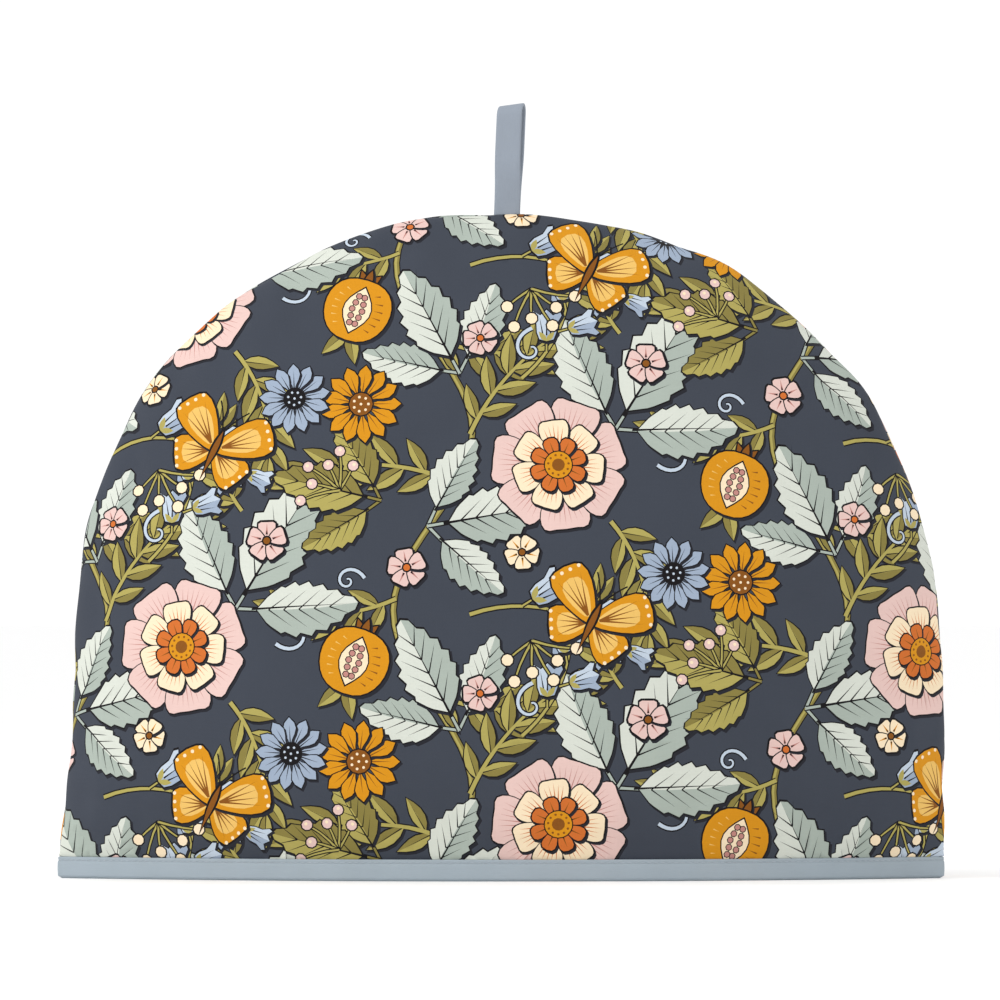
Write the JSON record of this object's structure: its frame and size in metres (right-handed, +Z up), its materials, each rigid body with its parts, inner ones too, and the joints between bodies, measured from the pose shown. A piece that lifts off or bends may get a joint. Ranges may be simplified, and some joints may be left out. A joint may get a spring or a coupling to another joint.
{
  "type": "tea cosy",
  "caption": "Padded half-moon tea cosy, open at its bound hem, with a seam over the dome and a hanging loop at the top.",
  "frame": {"origin": "on the surface it stands on, under the middle of the hem", "axes": "+Z up, -Y out of the front panel, +X to the right as seen from the front"},
  "size_m": [0.34, 0.1157, 0.2975],
  "materials": {
    "printed_cotton": "matt printed cotton, dark slate ground with a floral print",
    "tape_cotton": "matt plain cotton tape, pale blue-grey"
  },
  "bodies": {
    "root": {"front_panel": "printed_cotton", "back_panel": "printed_cotton", "hem_binding": "tape_cotton", "hanging_loop": "tape_cotton"}
  },
  "joints": []
}
